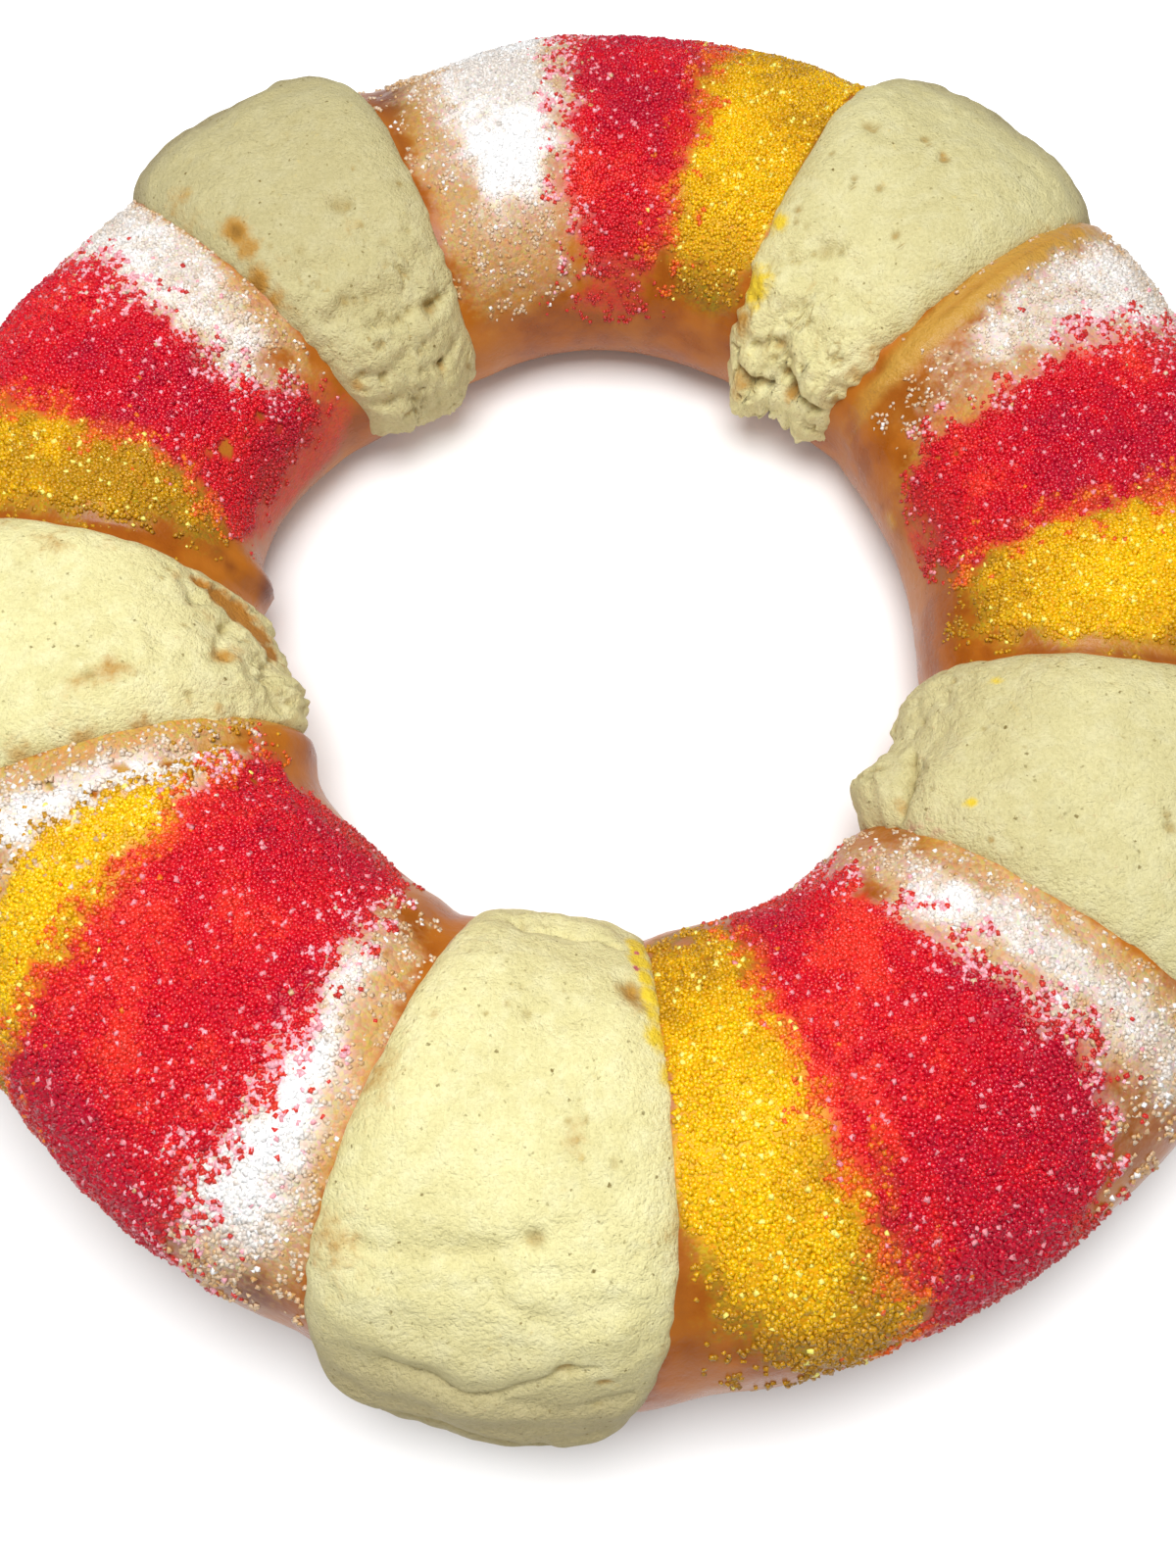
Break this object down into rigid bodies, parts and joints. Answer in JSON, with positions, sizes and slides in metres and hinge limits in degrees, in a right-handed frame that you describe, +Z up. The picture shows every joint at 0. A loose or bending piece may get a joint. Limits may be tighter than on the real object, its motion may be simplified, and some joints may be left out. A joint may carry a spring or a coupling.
{
  "type": "king cake",
  "caption": "Ring of sweet egg-washed bread with strips of pale sugar paste laid across it and bands of coarse coloured sugar between them.",
  "frame": {"origin": "on the surface that the cake stands on, under the middle of its outline", "axes": "+Z up, -Y towards the front strip of sugar paste, +X to the right as seen from the front"},
  "size_m": [0.2792, 0.291, 0.0501],
  "materials": {
    "bread": null,
    "sugar_paste": null
  },
  "bodies": {
    "root": {"bread_ring": "bread", "paste_front": "sugar_paste", "paste_right": "sugar_paste", "paste_back_right": "sugar_paste", "paste_back_left": "sugar_paste", "paste_left": "sugar_paste"}
  },
  "joints": []
}
